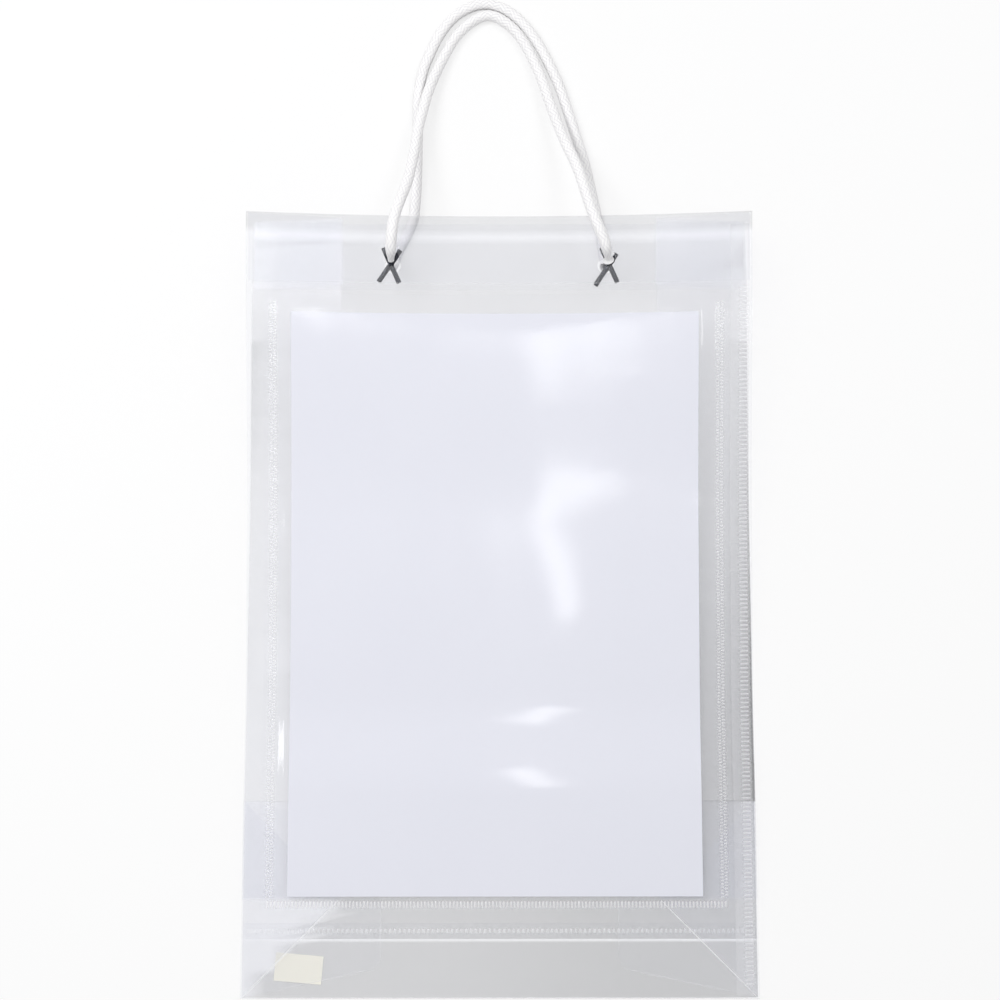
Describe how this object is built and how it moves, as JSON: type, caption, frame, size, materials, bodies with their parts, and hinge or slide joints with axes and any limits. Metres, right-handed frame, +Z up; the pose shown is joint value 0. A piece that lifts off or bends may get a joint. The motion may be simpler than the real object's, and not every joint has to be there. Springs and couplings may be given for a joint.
{
  "type": "plastic carrier bag",
  "caption": "Flat-folded translucent plastic carrier bag with block bottom, side gussets, corded handles held by toggles, and a clear front pocket holding a blank sheet.",
  "frame": {"origin": "on the floor under the middle of the bag without its handles, as it lies on its back", "axes": "+X across the bag, +Y from the base to the mouth and handles, +Z up out of the pocket side"},
  "size_m": [0.2608, 0.527, 0.0385],
  "materials": {
    "milky_film": "translucent milky polypropylene film, satin",
    "clear_film": "clear glossy film",
    "plain_paper": "plain white paper, faintly blue",
    "cream_label": "matt cream label",
    "white_cord": "white braided cord",
    "grey_toggle": "dark grey moulded plastic"
  },
  "bodies": {
    "root": {"bag_body": "milky_film", "pocket_window": "clear_film", "insert_sheet": "plain_paper", "base_label": "cream_label", "front_handle_cord": "white_cord", "back_handle_cord": "white_cord", "front_left_toggle": "grey_toggle", "front_right_toggle": "grey_toggle", "back_left_toggle": "grey_toggle", "back_right_toggle": "grey_toggle"}
  },
  "joints": []
}
